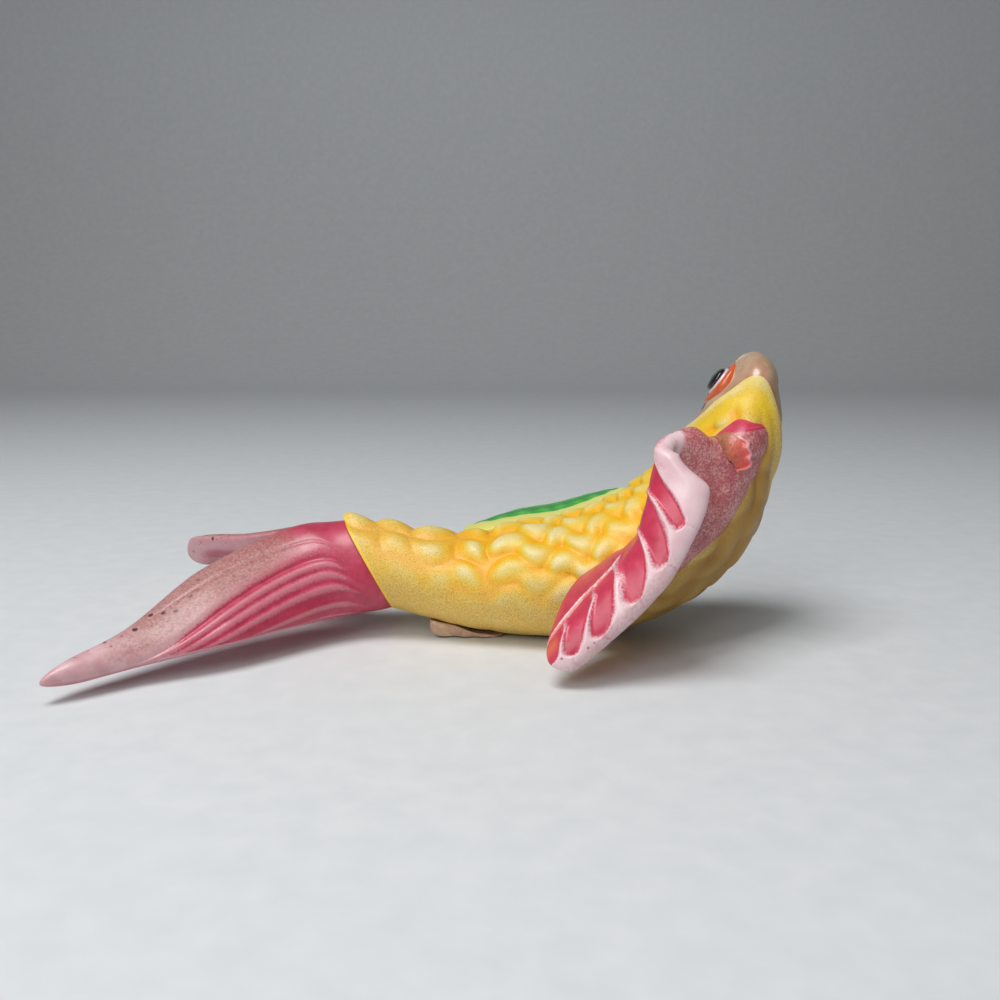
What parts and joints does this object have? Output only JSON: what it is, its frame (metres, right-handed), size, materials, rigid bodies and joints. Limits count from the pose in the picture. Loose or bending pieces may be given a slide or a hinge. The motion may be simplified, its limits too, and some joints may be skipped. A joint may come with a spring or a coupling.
{
  "type": "fish wall hanging",
  "caption": "Hollow painted clay fish in profile with raised scales, a forked tail and a folded belly fin; its wall side is ground flat and has a nail hole to hang it by.",
  "frame": {"origin": "middle of the flat ground on the wall side of the body, in the plane of the wall", "axes": "+X from the tail to the head, +Y from the belly fin to the back fin, +Z out of the wall; the part lies on its wall side"},
  "size_m": [0.1919, 0.121, 0.082],
  "materials": {
    "scale_paint": "fired clay, hand painted yellow with cream crests, satin varnish",
    "face_paint": "fired clay, painted beige, gloss varnish",
    "eye_orange": "fired clay, painted orange, gloss varnish",
    "eye_white": "fired clay, painted white, gloss varnish",
    "eye_black": "fired clay, painted black, gloss varnish",
    "fin_pink": "fired clay, painted deep pink in the grooves and pale pink on the ribs and margins, satin varnish",
    "fin_green": "fired clay, painted green, satin varnish",
    "pad_putty": "bare buff putty, matt"
  },
  "bodies": {
    "root": {"body_shell": "scale_paint", "head": "face_paint", "eye_ring": "eye_orange", "eye_white": "eye_white", "eye_pupil": "eye_black", "tail_lower_lobe": "fin_pink", "tail_upper_lobe": "fin_pink", "belly_fin_root": "fin_pink", "belly_fin_blade": "fin_pink", "back_fin": "fin_green", "wall_pad": "pad_putty"}
  },
  "joints": []
}
